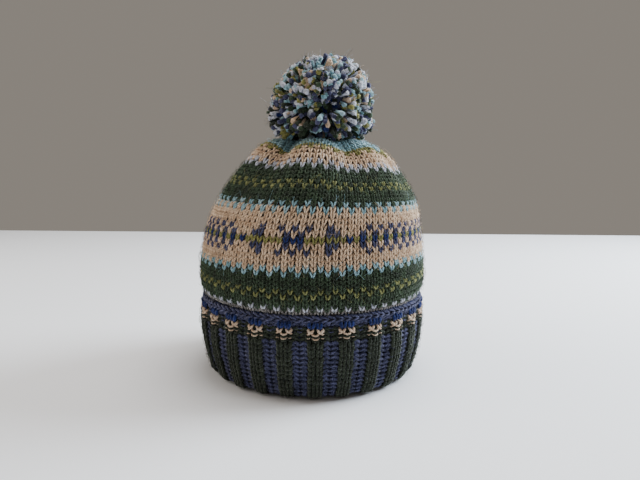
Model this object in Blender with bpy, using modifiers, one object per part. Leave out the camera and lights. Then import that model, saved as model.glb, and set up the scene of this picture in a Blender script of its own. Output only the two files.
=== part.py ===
"""A hand-knitted bobble hat that stands on its turned-up rib.

The hat is four pieces: a stocking-stitch crown drawn in at the top, a corrugated rib that is
folded up into a cuff, the rolled cast-on edge along the cuff's top, and a pompom of cut yarn.
Metres, +Z up, the origin on the floor under the middle of the cuff, the front towards -Y.
"""

import math
from collections import namedtuple

import bmesh
import bpy
from mathutils import Vector

# Driving sizes
KNIT_WALL = 0.0030  # stranded knitting carries two yarns, so it is a thick wall
FIT_GAP = 0.0003  # between pieces that touch

CUFF_RADIUS = 0.0757  # over the rib crests, at the widest
CUFF_HEIGHT = 0.0492
CUFF_TAPER = 0.0068  # how much the cuff draws in towards its fold
LAYER_GAP = 0.0005  # between the two layers of the folded rib
FOLD_FLAT = 0.0016  # width of the fold's squashed underside
RIB_COUNT = 26
RIB_DEPTH = 0.0014  # from a knit crest down to a purl furrow
RIB_TURN = 2.35  # degrees from the front to the middle of the nearest knit crest

EDGE_WIDTH = 0.0044  # the rolled edge, across
EDGE_HEIGHT = 0.0056

CROWN_RADIUS = 0.0750
CROWN_HEIGHT = 0.1068  # from the crown's foot to its top
CROWN_SHIFT = 0.0064  # how far the crown leans, towards +X
CROWN_DROP = 0.0036  # and how far its leaning side sinks
PLEAT_DEPTH = 0.0060

POMPOM_WIDTH = 0.0735
POMPOM_HEIGHT = 0.0600
POMPOM_BED = 0.0050  # how deep the pompom beds into the gathered top
TUFT_LENGTH = 0.0042  # how far the tufts stand out of the pompom's core
TUFT_SPREAD = 0.80  # a tuft's end, as a share of the room at its root
TUFT_UNEVEN = 0.35  # how much of its length the shortest tuft lacks

CROWN_STEPS = 48  # round the crown
EDGE_STEPS = 60
EDGE_SIDES = 8
TUFT_LEVEL = 3  # subdivisions of the ball whose corners carry the tufts

# The cuff's outer layer, from its top down. height is a share of CUFF_HEIGHT, and draw a share of
# CUFF_TAPER.
CuffSection = namedtuple("CuffSection", "height draw")
CUFF_SECTIONS = (
    CuffSection(1.00, 0.12),
    CuffSection(0.74, 0.00),
    CuffSection(0.48, 0.16),
    CuffSection(0.26, 0.50),
    CuffSection(0.12, 0.82),
)
SLOT_SECTIONS = (0, 1, 2, 4)  # those that the slot between the two layers follows

# The crown above the rolled edge. height is a share of what is left of CROWN_HEIGHT there,
# radius of CROWN_RADIUS, shift of CROWN_SHIFT, drop of CROWN_DROP and pleat of PLEAT_DEPTH.
CrownSection = namedtuple("CrownSection", "height radius shift drop pleat")
CROWN_SECTIONS = (
    CrownSection(0.030, 0.988, 0.00, 0.00, 0.00),
    CrownSection(0.105, 1.000, 0.00, 0.00, 0.00),
    CrownSection(0.200, 0.988, 0.00, 0.08, 0.00),
    CrownSection(0.300, 0.972, 0.03, 0.16, 0.00),
    CrownSection(0.402, 0.953, 0.12, 0.26, 0.00),
    CrownSection(0.497, 0.920, 0.34, 0.50, 0.03),
    CrownSection(0.588, 0.876, 0.60, 0.76, 0.08),
    CrownSection(0.665, 0.831, 0.76, 0.90, 0.14),
    CrownSection(0.739, 0.773, 0.88, 1.00, 0.28),
    CrownSection(0.823, 0.690, 0.98, 1.00, 0.52),
    CrownSection(0.888, 0.626, 1.00, 0.90, 0.80),
    CrownSection(0.938, 0.560, 1.00, 0.70, 1.00),
    CrownSection(0.977, 0.474, 0.92, 0.40, 1.00),
    CrownSection(1.000, 0.385, 0.82, 0.00, 0.60),
)
TOP_SHIFT = CROWN_SHIFT * CROWN_SECTIONS[-1].shift

# The pompom's bed in the crown's top. reach is a share of the bed's radius at its rim, and pleat
# a share of PLEAT_DEPTH.
BedSection = namedtuple("BedSection", "reach pleat")
BED_SECTIONS = (
    BedSection(1.00, 0.20),
    BedSection(0.76, 0.00),
    BedSection(0.40, 0.00),
)

# The gathers at the top. angle is in degrees from the front, towards +X; depth a share of the
# crown section's pleat, and width the angle over which the furrow fades.
Pleat = namedtuple("Pleat", "angle depth width")
PLEATS = (
    Pleat(-33.5, 1.00, 13.0),
    Pleat(18.3, 0.94, 12.0),
    Pleat(70.0, 0.72, 13.0),
    Pleat(121.5, 0.90, 14.0),
    Pleat(173.0, 0.76, 12.0),
    Pleat(224.5, 0.88, 13.0),
    Pleat(276.0, 0.80, 14.0),
)

# Sizes that follow
LAYER_PITCH = KNIT_WALL + LAYER_GAP
OUTER_LAYER = CUFF_RADIUS - RIB_DEPTH / 2 - KNIT_WALL / 2  # the outer layer's middle line
SEAT_Z = CUFF_HEIGHT + FIT_GAP  # where the crown and the rolled edge stand on the rib
TOP_DRAW = CUFF_TAPER * CUFF_SECTIONS[0].draw
INNER_LAYER = OUTER_LAYER - TOP_DRAW - LAYER_PITCH
FOOT_RADIUS = INNER_LAYER + KNIT_WALL / 2
EDGE_INNER = FOOT_RADIUS + FIT_GAP
COLLAR = EDGE_HEIGHT + FIT_GAP  # the crown's straight foot, behind the rolled edge
CROWN_TOP = SEAT_Z + CROWN_HEIGHT
POMPOM_MIDDLE = CROWN_TOP - POMPOM_BED + POMPOM_HEIGHT / 2


def clear_scene():
    for obj in list(bpy.data.objects):
        bpy.data.objects.remove(obj)


def collection_for(name):
    made = bpy.data.collections.new(name)
    bpy.context.scene.collection.children.link(made)
    return made


def wool(name, colour, roughness=0.95):
    material = bpy.data.materials.new(name)
    material.use_nodes = True
    shader = material.node_tree.nodes["Principled BSDF"]
    shader.inputs["Base Color"].default_value = (*colour, 1.0)
    shader.inputs["Roughness"].default_value = roughness
    shader.inputs["Metallic"].default_value = 0.0
    return material


def object_from(bm, name, material, collection):
    mesh = bpy.data.meshes.new(name)
    bm.to_mesh(mesh)
    bm.free()
    mesh.shade_smooth()
    mesh.materials.append(material)
    obj = bpy.data.objects.new(name, mesh)
    collection.objects.link(obj)
    return obj


def bridge(bm, ring, next_ring):
    """Quads between two rings of as many vertices."""
    for i in range(len(ring)):
        j = (i + 1) % len(ring)
        bm.faces.new((ring[i], ring[j], next_ring[j], next_ring[i]))


def from_front(angle, radius, height):
    """A point at an angle in radians from the front, turning towards +X."""
    return Vector((radius * math.sin(angle), -radius * math.cos(angle), height))


# The cuff


def cuff_outline():
    """The folded rib's section as a closed loop of (radius, height), without its ribs."""
    half = KNIT_WALL / 2
    path = [(OUTER_LAYER - CUFF_TAPER * s.draw, CUFF_HEIGHT * s.height) for s in CUFF_SECTIONS]
    slot = [path[i] for i in SLOT_SECTIONS]
    outside = [(r + half, z) for r, z in path]
    inside = [(r - half - LAYER_PITCH, z) for r, z in path]
    slot_outside = [(r - half, z) for r, z in slot]
    slot_inside = [(r - half - LAYER_GAP, z) for r, z in slot]
    fold_radius = OUTER_LAYER - CUFF_TAPER - LAYER_PITCH / 2
    fold_half = KNIT_WALL + LAYER_GAP / 2
    fold_rise = path[-1][1] / 3
    fold = [
        (fold_radius + fold_half, fold_rise),
        (fold_radius + FOLD_FLAT / 2, 0.0),
        (fold_radius - FOLD_FLAT / 2, 0.0),
        (fold_radius - fold_half, fold_rise),
    ]
    return outside + fold + inside[::-1] + slot_inside + slot_outside[::-1]


def rib_offsets():
    """(angle, radial offset) at both sides of each knit crest and of each purl furrow."""
    pitch = 2 * math.pi / RIB_COUNT
    corners = ((-0.19, 0.5), (0.19, 0.5), (0.31, -0.5), (0.69, -0.5))
    first = math.radians(RIB_TURN)
    return [
        (first + (n + share) * pitch, offset * RIB_DEPTH)
        for n in range(RIB_COUNT)
        for share, offset in corners
    ]


def build_cuff(material, collection):
    outline = cuff_outline()
    bm = bmesh.new()
    loops = [
        [bm.verts.new(from_front(angle, radius + offset, height)) for radius, height in outline]
        for angle, offset in rib_offsets()
    ]
    for loop, next_loop in zip(loops, loops[1:] + loops[:1]):
        bridge(bm, loop, next_loop)
    bmesh.ops.recalc_face_normals(bm, faces=bm.faces)
    return object_from(bm, "cuff", material, collection)


# The rolled cast-on edge


def build_edge(material, collection):
    """A rounded oval, turned about the hat's axis by a Screw."""
    bm = bmesh.new()
    middle = Vector((EDGE_INNER + EDGE_WIDTH / 2, 0.0, SEAT_Z + EDGE_HEIGHT / 2))
    turn = 2 * math.pi / EDGE_SIDES
    corner = 0.5 / math.cos(turn / 2)
    oval = []
    for i in range(EDGE_SIDES):
        angle = (i + 0.5) * turn
        across = Vector((math.cos(angle) * EDGE_WIDTH, 0.0, math.sin(angle) * EDGE_HEIGHT))
        oval.append(bm.verts.new(middle + across * corner))
    for i, vertex in enumerate(oval):
        bm.edges.new((vertex, oval[i - 1]))
    obj = object_from(bm, "cuff_edge", material, collection)
    screw = obj.modifiers.new("turn", "SCREW")
    screw.steps = EDGE_STEPS
    screw.render_steps = EDGE_STEPS
    screw.use_merge_vertices = True
    screw.merge_threshold = 0.00001
    screw.use_smooth_shade = True
    return obj


# The crown


def furrow(angle):
    """0 on a crest of the gathered top, up to 1 in a furrow."""
    depth = 0.0
    for pleat in PLEATS:
        away = math.degrees(angle) - pleat.angle
        away = (away + 180) % 360 - 180
        depth += pleat.depth * math.exp(-((away / pleat.width) ** 2))
    return depth


def crown_profile():
    """Rings from the foot to the middle of the bed: radius, height, shift, drop, pleat."""
    above = CROWN_HEIGHT - COLLAR
    collar_top = SEAT_Z + COLLAR
    rings = [
        (FOOT_RADIUS, SEAT_Z, 0.0, 0.0, 0.0),
        (FOOT_RADIUS, collar_top, 0.0, 0.0, 0.0),
    ]
    for s in CROWN_SECTIONS:
        rings.append(
            (
                CROWN_RADIUS * s.radius,
                collar_top + above * s.height,
                CROWN_SHIFT * s.shift,
                CROWN_DROP * s.drop,
                PLEAT_DEPTH * s.pleat,
            )
        )
    half_width = POMPOM_WIDTH / 2
    half_height = POMPOM_HEIGHT / 2
    rim = half_width * math.sqrt(1 - (1 - POMPOM_BED / half_height) ** 2)
    for s in BED_SECTIONS:
        radius = rim * s.reach
        under = half_height * math.sqrt(1 - (radius / half_width) ** 2)
        height = POMPOM_MIDDLE - under - FIT_GAP
        rings.append((radius, height, TOP_SHIFT, 0.0, PLEAT_DEPTH * s.pleat))
    return rings


def build_crown(material, collection):
    """The outer surface, lofted from ring to ring and closed on the axis, thickened inward."""
    rings = crown_profile()
    bm = bmesh.new()
    lofted = []
    for i, (radius, height, shift, drop, pleat) in enumerate(rings):
        below = rings[max(i - 1, 0)]
        above = rings[min(i + 1, len(rings) - 1)]
        along = Vector((above[0] - below[0], above[1] - below[1])).normalized()
        outward, upward = along.y, -along.x
        ring = []
        for step in range(CROWN_STEPS):
            angle = 2 * math.pi * step / CROWN_STEPS
            sunk = pleat * furrow(angle)
            point = from_front(angle, radius - sunk * outward, height - sunk * upward)
            point.x += shift
            point.z -= drop * math.sin(angle)
            ring.append(bm.verts.new(point))
        lofted.append(ring)
    for ring, next_ring in zip(lofted, lofted[1:]):
        bridge(bm, ring, next_ring)
    bed = POMPOM_MIDDLE - POMPOM_HEIGHT / 2 - FIT_GAP
    middle = bm.verts.new((TOP_SHIFT, 0.0, bed))
    last = lofted[-1]
    for i, vertex in enumerate(last):
        bm.faces.new((vertex, last[(i + 1) % len(last)], middle))
    obj = object_from(bm, "crown", material, collection)
    shell = obj.modifiers.new("wall", "SOLIDIFY")
    shell.thickness = KNIT_WALL
    shell.offset = -1.0
    return obj


# The pompom


def tuft_share(height):
    """How far a tuft stands out: not at all in the bed, and fully a little above it."""
    bed_top = POMPOM_BED / (POMPOM_HEIGHT / 2) - 1
    rise = 0.25
    return min(1.0, max(0.0, (height - bed_top) / rise))


def inside_outline(direction, inset):
    """The point in a direction from the pompom's middle, this far inside its outer form."""
    half_width = POMPOM_WIDTH / 2 - inset
    half_height = POMPOM_HEIGHT / 2 - inset
    return Vector((direction.x * half_width, direction.y * half_width, direction.z * half_height))


def faces_around(vertex):
    """The faces at a vertex, in order round it."""
    across = vertex.co.orthogonal().normalized()
    upright = vertex.co.cross(across).normalized()

    def turn(face):
        away = face.calc_center_median() - vertex.co
        return math.atan2(away.dot(upright), away.dot(across))

    return sorted(vertex.link_faces, key=turn)


def build_pompom(material, collection):
    """A ball of blunt tufts, one over each corner of an icosphere, fused at their roots."""
    ball = bmesh.new()
    bmesh.ops.create_icosphere(ball, subdivisions=TUFT_LEVEL, radius=1.0)
    ball.verts.ensure_lookup_table()
    middle = Vector((TOP_SHIFT, 0.0, POMPOM_MIDDLE))
    bm = bmesh.new()
    roots = {}
    for face in ball.faces:
        out = face.calc_center_median().normalized()
        root = inside_outline(out, TUFT_LENGTH * tuft_share(out.z))
        roots[face.index] = bm.verts.new(middle + root)
    for vertex in ball.verts:
        out = vertex.co.normalized()
        free = tuft_share(out.z)
        uneven = TUFT_UNEVEN * (0.5 + 0.5 * math.sin(vertex.index * vertex.index))
        short = TUFT_LENGTH * free * uneven
        tip = inside_outline(out, short)
        spread = 1.0 + (TUFT_SPREAD - 1.0) * free
        loop = faces_around(vertex)
        corners = [inside_outline(face.calc_center_median().normalized(), short) for face in loop]
        base = [roots[face.index] for face in loop]
        if free > 0:
            end = [bm.verts.new(middle + tip.lerp(corner, spread)) for corner in corners]
            bridge(bm, base, end)
            bm.faces.new(end)
        else:
            bm.faces.new(base)
    ball.free()
    bmesh.ops.recalc_face_normals(bm, faces=bm.faces)
    return object_from(bm, "pompom", material, collection)


def main():
    clear_scene()
    hat = collection_for("bobble_hat")
    build_cuff(wool("corrugated_rib_wool", (0.034, 0.044, 0.040)), hat)
    build_edge(wool("denim_blue_wool", (0.060, 0.075, 0.200)), hat)
    build_crown(wool("stranded_crown_wool", (0.160, 0.130, 0.085)), hat)
    build_pompom(wool("mixed_pompom_wool", (0.210, 0.230, 0.220)), hat)


main()
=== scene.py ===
"""A hand-knitted bobble hat, stitch by stitch, standing on its turned-up rib.

The hat is made in the order in which it is knitted: the rib and its cast-on edge, the stranded
crown up to the gathered top, and the pompom last. Angles go round from the front, towards +X.
"""

import math
from collections import namedtuple
import bpy
import numpy as np
from mathutils import Matrix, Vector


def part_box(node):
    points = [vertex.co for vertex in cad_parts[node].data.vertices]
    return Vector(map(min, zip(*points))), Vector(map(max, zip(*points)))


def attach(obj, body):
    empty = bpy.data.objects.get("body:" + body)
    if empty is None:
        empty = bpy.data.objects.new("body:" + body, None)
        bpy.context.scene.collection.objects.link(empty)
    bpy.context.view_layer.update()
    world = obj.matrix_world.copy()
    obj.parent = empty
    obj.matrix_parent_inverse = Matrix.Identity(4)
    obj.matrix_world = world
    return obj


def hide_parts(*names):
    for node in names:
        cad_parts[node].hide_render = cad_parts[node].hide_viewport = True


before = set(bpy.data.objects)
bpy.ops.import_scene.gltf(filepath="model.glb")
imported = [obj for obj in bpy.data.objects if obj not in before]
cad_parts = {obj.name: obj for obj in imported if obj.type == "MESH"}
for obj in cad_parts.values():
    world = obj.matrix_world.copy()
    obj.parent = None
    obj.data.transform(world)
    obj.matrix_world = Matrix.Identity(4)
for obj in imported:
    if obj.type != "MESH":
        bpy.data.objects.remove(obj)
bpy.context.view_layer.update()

# The fabric of the rib
# The rib is knitted in the round, two stitches plain and two purl, and folded up on itself, so it
# lies in two layers with a soft round fold that the hat stands on. This is the cloth under its
# stitches, the back of the rib's yarn, and its inner layer shows when the hat is looked into.
cuff_low, cuff_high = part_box("cuff")
RIB_RADIUS = (cuff_high.x - cuff_low.x) / 2
RIB_HEIGHT = cuff_high.z
RIB_COUNT = 26
RIB_FIRST = math.radians(2.35)  # the middle of the plain rib nearest to the front
RIB_DEPTH = 0.0010  # how far a crest is above the middle, and a furrow below it
RIB_SQUARENESS = 2.2  # how sharply a crest ends
RIB_STITCHES = 4 * RIB_COUNT
RIB_ROW = 0.00285
WALL = 0.0026  # the knit's thickness
UNDER_STITCHES = 0.0010  # from the form down to the cloth that backs the stitches
RIB_CLOTH = WALL * 0.4  # that cloth's thickness
RIB_CLOTH_STEPS = 8  # from one rib to the next

# From the inner layer's top, down round the fold and up the outer layer. radius is a share of
# RIB_RADIUS, height of RIB_HEIGHT and depth of RIB_DEPTH. The rib has no shift and no drop.
Section = namedtuple("Section", "radius height shift drop depth")
RIB_SECTIONS = (
    Section(0.896, 1.00, 0.0, 0.0, 1.0),
    Section(0.904, 0.74, 0.0, 0.0, 1.0),
    Section(0.890, 0.48, 0.0, 0.0, 1.0),
    Section(0.862, 0.27, 0.0, 0.0, 1.0),
    Section(0.840, 0.13, 0.0, 0.0, 1.0),
    Section(0.838, 0.07, 0.0, 0.0, 0.8),
    Section(0.852, 0.040, 0.0, 0.0, 0.5),
    Section(0.884, 0.038, 0.0, 0.0, 0.5),
    Section(0.907, 0.065, 0.0, 0.0, 0.8),
    Section(0.922, 0.14, 0.0, 0.0, 1.0),
    Section(0.948, 0.27, 0.0, 0.0, 1.0),
    Section(0.976, 0.48, 0.0, 0.0, 1.0),
    Section(0.990, 0.74, 0.0, 0.0, 1.0),
    Section(0.982, 1.00, 0.0, 0.0, 1.0),
)


class Form:
    """A turned surface that the stitches lie on, by the angle round it and the way along it.

    Its sections are joined and softened. A section can be shifted to +X and dropped there, and
    relief says how far each angle is sunk, as a share of the section's depth.
    """

    def __init__(self, sections, relief, softness, step=0.0002, past=20):
        columns = np.array(sections, float).T
        lengths = np.hypot(np.diff(columns[0]), np.diff(columns[1]))
        reached = np.concatenate([[0.0], np.cumsum(lengths)])
        along = np.arange(0.0, reached[-1], step)
        reach = int(3 * softness / step)
        spread = np.exp(-0.5 * (np.arange(-reach, reach + 1) * step / softness) ** 2)
        spread /= spread.sum()
        self.tracks = []
        for column in columns:
            track = np.interp(along, reached, column)
            track = np.pad(track, reach + past, "reflect", reflect_type="odd")
            self.tracks.append(np.convolve(track, spread, "valid"))
        self.length = along[-1]
        self.along = np.arange(-past, len(along) + past) * step  # a little past both ends
        outward = np.gradient(self.tracks[0], step)
        upward = np.gradient(self.tracks[1], step)
        size = np.hypot(outward, upward)
        self.ways = (outward / size, upward / size)
        self.relief = relief

    def read(self, along, track):
        return np.interp(along, self.along, track)

    def surface(self, angle, along):
        radius, height, shift, drop, depth = (self.read(along, t) for t in self.tracks)
        outward, upward = (self.read(along, way) for way in self.ways)
        sunk = depth * self.relief(angle)
        radius = radius - sunk * upward
        height = height + sunk * outward
        x = radius * np.sin(angle) + shift
        return np.stack([x, -radius * np.cos(angle), height - drop * np.sin(angle)], -1)

    def at(self, angle, along, out=0.0):
        """The point this far out of the surface, or under it where out is negative."""
        angle, along, out = np.broadcast_arrays(angle, along, out)
        turn, step = 0.002, 0.0001  # short ways round the surface and along it
        here = self.surface(angle, along)
        round_way = self.surface(angle + turn, along) - here
        along_way = self.surface(angle, along + step) - here
        normal = np.cross(round_way, along_way)
        normal /= np.linalg.norm(normal, axis=-1, keepdims=True)
        return here + out[..., None] * normal


def rib_relief(angle):
    """-1 over a plain rib and 1 over a purl one, with short slopes between them."""
    wave = np.cos((angle - RIB_FIRST) * RIB_COUNT)
    return -np.tanh(RIB_SQUARENESS * wave) / np.tanh(RIB_SQUARENESS)


rib_form = Form(
    [
        (s.radius * RIB_RADIUS, s.height * RIB_HEIGHT, s.shift, s.drop, s.depth * RIB_DEPTH)
        for s in RIB_SECTIONS
    ],
    rib_relief,
    softness=0.0014,
)


def linear(code):
    """A colour as a screen shows it, such as 3E4566, in the linear values that a shader takes."""
    parts = [int(code[i : i + 2], 16) / 255 for i in (0, 2, 4)]
    return [p / 12.92 if p <= 0.04045 else ((p + 0.055) / 1.055) ** 2.4 for p in parts]


PLIES = 2
TWISTS = 3.0  # how often the plies cross along a strand
PLY_RELIEF = 0.55
FIBRE_RELIEF = 0.5
PALE_SHEEN = 0.26  # how much of the sheen is white, where the rest is the yarn's own colour


def wool(name, shade, light):
    """Plied wool, whose tone wanders from stitch to stitch and is flecked by its fibres."""
    material = bpy.data.materials.new(name)
    material.use_nodes = True
    nodes, links = material.node_tree.nodes, material.node_tree.links
    shader = nodes["Principled BSDF"]
    shader.inputs["Roughness"].default_value = 0.92
    shader.inputs["Specular IOR Level"].default_value = 0.18
    shader.inputs["Sheen Weight"].default_value = 0.55
    shader.inputs["Sheen Roughness"].default_value = 0.45
    sheen = [PALE_SHEEN + (1.0 - PALE_SHEEN) * v for v in linear(light)]
    shader.inputs["Sheen Tint"].default_value = (*sheen, 1.0)
    place = nodes.new("ShaderNodeTexCoord")

    def noise(scale, detail):
        texture = nodes.new("ShaderNodeTexNoise")
        texture.inputs["Scale"].default_value = scale
        texture.inputs["Detail"].default_value = detail
        texture.inputs["Roughness"].default_value = 0.6
        links.new(place.outputs["Object"], texture.inputs["Vector"])
        return texture.outputs["Fac"]

    tones = nodes.new("ShaderNodeMath")
    tones.operation = "ADD"
    links.new(noise(scale=210.0, detail=2.0), tones.inputs[0])
    links.new(noise(scale=1500.0, detail=3.0), tones.inputs[1])
    blend = nodes.new("ShaderNodeMapRange")
    blend.inputs["From Min"].default_value = 0.80
    blend.inputs["From Max"].default_value = 1.20
    links.new(tones.outputs[0], blend.inputs["Value"])

    turned = nodes.new("ShaderNodeMapping")
    wave = math.pi / 5  # the length of a diagonal wave at a scale of 1
    turned.inputs["Scale"].default_value = (TWISTS * wave, PLIES * wave, 0.0)
    links.new(place.outputs["UV"], turned.inputs["Vector"])
    plies = nodes.new("ShaderNodeTexWave")
    plies.bands_direction = "DIAGONAL"
    plies.inputs["Scale"].default_value = 1.0
    plies.inputs["Distortion"].default_value = 0.6
    plies.inputs["Detail"].default_value = 1.0
    links.new(turned.outputs["Vector"], plies.inputs["Vector"])

    # The colour is darkened where the ply wave is low, along the grooves between the plies: painted
    # shade.
    groove_shade = nodes.new("ShaderNodeMix")
    groove_shade.data_type = "RGBA"
    groove_shade.blend_type = "MULTIPLY"
    groove_shade.inputs["Factor"].default_value = 0.35
    colour = nodes.new("ShaderNodeMix")
    colour.data_type = "RGBA"
    colour.inputs["A"].default_value = (*linear(shade), 1.0)
    colour.inputs["B"].default_value = (*linear(light), 1.0)
    links.new(blend.outputs["Result"], colour.inputs["Factor"])
    links.new(colour.outputs["Result"], groove_shade.inputs["A"])
    links.new(plies.outputs["Color"], groove_shade.inputs["B"])
    links.new(groove_shade.outputs["Result"], shader.inputs["Base Color"])

    twist = nodes.new("ShaderNodeBump")
    twist.inputs["Strength"].default_value = PLY_RELIEF
    twist.inputs["Distance"].default_value = 0.0003
    links.new(plies.outputs["Fac"], twist.inputs["Height"])
    fibres = nodes.new("ShaderNodeBump")
    fibres.inputs["Strength"].default_value = FIBRE_RELIEF
    fibres.inputs["Distance"].default_value = 0.00022
    links.new(noise(scale=3600.0, detail=2.0), fibres.inputs["Height"])
    links.new(twist.outputs["Normal"], fibres.inputs["Normal"])
    links.new(fibres.outputs["Normal"], shader.inputs["Normal"])
    return material


YARNS = {
    "rib green": wool("rib_green_wool", "1E241C", "363D31"),
    "denim": wool("denim_wool", "30324B", "555777"),
}


def copied_form(name, points, faces, uvs, materials, tints=None, face_tints=None):
    """One piece made of many copies of a small form.

    points holds (copies, corners, 3) places, faces the corners of each face of the small form
    and uvs a place on the yarn for each corner of each face. tints gives each copy's material, or
    face_tints each face's.
    """
    copies, corners = points.shape[:2]
    sizes = np.array([len(face) for face in faces])
    corner_list = np.concatenate([np.array(face) for face in faces])
    mesh = bpy.data.meshes.new(name)
    mesh.vertices.add(copies * corners)
    mesh.vertices.foreach_set("co", points.reshape(-1).astype(np.float32))
    loops = (corner_list[None, :] + np.arange(copies)[:, None] * corners).reshape(-1)
    mesh.loops.add(len(loops))
    mesh.loops.foreach_set("vertex_index", loops.astype(np.int32))
    ends = np.cumsum(np.tile(sizes, copies))
    mesh.polygons.add(copies * len(faces))
    mesh.polygons.foreach_set("loop_start", (ends - np.tile(sizes, copies)).astype(np.int32))
    for material in materials:
        mesh.materials.append(material)
    if tints is not None:
        mesh.polygons.foreach_set("material_index", np.repeat(tints, len(faces)).astype(np.int32))
    if face_tints is not None:
        mesh.polygons.foreach_set("material_index", np.asarray(face_tints, np.int32))
    mesh.update(calc_edges=True)
    layer = mesh.uv_layers.new(name="yarn")
    layer.uv.foreach_set("vector", np.tile(uvs, (copies, 1)).reshape(-1).astype(np.float32))
    mesh.shade_smooth()
    piece = bpy.data.objects.new(name, mesh)
    bpy.context.scene.collection.objects.link(piece)
    return piece


def cloth_wall(name, points, materials, face_tints):
    """A closed wall from a grid of points (rings, steps, 3) that runs back to its first ring."""
    rings, steps = points.shape[:2]
    ring, step = np.meshgrid(np.arange(rings), np.arange(steps), indexing="ij")
    next_ring, next_step = (ring + 1) % rings, (step + 1) % steps
    corners = [
        ring * steps + step,
        ring * steps + next_step,
        next_ring * steps + next_step,
        next_ring * steps + step,
    ]
    faces = np.stack(corners, -1).reshape(-1, 4)
    spots = [(step, ring), (step + 1, ring), (step + 1, ring + 1), (step, ring + 1)]
    uvs = np.stack([np.stack(spot, -1) for spot in spots], -2).reshape(-1, 2)
    return copied_form(name, points.reshape(1, -1, 3), faces, uvs, materials, None, face_tints)


def rib_cloth():
    steps = RIB_COUNT * RIB_CLOTH_STEPS
    angle = np.arange(steps) * 2 * math.pi / steps + RIB_FIRST
    along = np.arange(0.0, rib_form.length, RIB_ROW)
    front = rib_form.at(angle[None, :], along[:, None], -UNDER_STITCHES)
    back = rib_form.at(angle[None, :], along[::-1, None], -UNDER_STITCHES - RIB_CLOTH)
    points = np.concatenate([front, back])
    plain = np.cos((angle + math.pi / steps - RIB_FIRST) * RIB_COUNT) > 0
    tints = np.tile(np.where(plain, 0, 1), len(points))
    piece = cloth_wall("rib_cloth", points, [YARNS["rib green"], YARNS["denim"]], tints)
    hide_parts("cuff")
    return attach(piece, "root")


rib_cloth()

# The rib's stitches
# A plain stitch is a loop whose two legs show, and a purl one turns the loop's head to the front
# as a low wave. The plain ribs are forest green and the purl ribs denim blue. They go on under the
# fold and up inside, where they show when the hat is looked into.
STRAND_SIDES = 5
INSIDE_SIDES = 4
NOMINAL_RISE = 0.8  # a row's height over a stitch's width in the small forms below
PLAIN_OFF = 0.48  # from a plain rib's middle to the middle of each of its two stitches
CHECK_ROWS = 4  # rows under the cast-on edge that the chequered start takes
NAVY_RISE = 1.05  # the navy row's height over the other rows'

# How far the stitches differ, each as a share of its own size: in width, height and slant, in
# their place round and along the form, and in how full they are.
SIZE_SPREAD = 0.04
ROUND_SPREAD = 0.025
ALONG_SPREAD = 0.03
FULL_SPREAD = 0.06

# A strand's middle and its half sizes at each bend, in stitch widths.
Bend = namedtuple("Bend", "across up out width depth")
RIB_LEG = (
    Bend(0.13, -0.80, -0.12, 0.11, 0.10),
    Bend(0.18, -0.46, 0.12, 0.19, 0.17),
    Bend(0.24, -0.08, 0.18, 0.21, 0.19),
    Bend(0.28, 0.28, 0.11, 0.19, 0.17),
    Bend(0.31, 0.60, -0.14, 0.12, 0.11),
)
PURL_WAVE = (
    Bend(-1.06, -0.34, -0.24, 0.18, 0.12),
    Bend(-0.84, 0.02, 0.06, 0.26, 0.19),
    Bend(-0.54, 0.24, 0.15, 0.30, 0.20),
    Bend(-0.24, -0.02, 0.10, 0.26, 0.19),
    Bend(0.00, -0.42, -0.13, 0.11, 0.11),
    Bend(0.24, -0.02, 0.10, 0.26, 0.19),
    Bend(0.54, 0.24, 0.15, 0.30, 0.20),
    Bend(0.84, 0.02, 0.06, 0.26, 0.19),
    Bend(1.06, -0.34, -0.24, 0.18, 0.12),
)
PURL_FOOT = (
    Bend(-1.02, -0.10, -0.22, 0.14, 0.12),
    Bend(-0.56, -0.40, 0.06, 0.27, 0.16),
    Bend(-0.14, -0.20, -0.10, 0.14, 0.12),
)


def strand(path, sides=STRAND_SIDES):
    """A short tapered strand along a path: its corners, its faces and the faces' places on it."""
    bends = np.array(path, float)
    way = np.gradient(bends[:, :2], axis=0)
    way /= np.linalg.norm(way, axis=1, keepdims=True)
    turn = np.arange(sides) * 2 * math.pi / sides
    corners = np.zeros((len(path), sides, 3))
    corners[..., 0] = bends[:, None, 0] + bends[:, None, 3] * way[:, None, 1] * np.cos(turn)
    corners[..., 1] = bends[:, None, 1] - bends[:, None, 3] * way[:, None, 0] * np.cos(turn)
    corners[..., 2] = bends[:, None, 2] + bends[:, None, 4] * np.sin(turn)
    faces, uvs = [], []
    for i in range(len(path) - 1):
        for j in range(sides):
            k = (j + 1) % sides
            faces.append((i * sides + j, (i + 1) * sides + j, (i + 1) * sides + k, i * sides + k))
            low, high = i / (len(path) - 1), (i + 1) / (len(path) - 1)
            left, right = j / sides, (j + 1) / sides
            uvs += [(low, left), (high, left), (high, right), (low, right)]
    last = (len(path) - 1) * sides
    for cap, end in ((range(sides), 0.0), (range(last + sides - 1, last - 1, -1), 1.0)):
        faces.append(tuple(cap))
        uvs += [(end, 0.5)] * sides
    return corners.reshape(-1, 3), faces, np.array(uvs)


def joined(forms):
    """Several small forms as one."""
    corners, faces, uvs = [], [], []
    for form_corners, form_faces, form_uvs in forms:
        start = sum(len(c) for c in corners)
        corners.append(form_corners)
        faces += [tuple(start + v for v in face) for face in form_faces]
        uvs.append(form_uvs)
    return np.concatenate(corners), faces, np.concatenate(uvs)


def flipped(path):
    """A path's mirror image, left to right."""
    return [b._replace(across=-b.across) for b in path]


def pair(path, sides=STRAND_SIDES):
    """A strand and its mirror image, as one."""
    return joined([strand(path, sides), strand(flipped(path), sides)])


Placed = namedtuple("Placed", "angle along width rise yarn")


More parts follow.
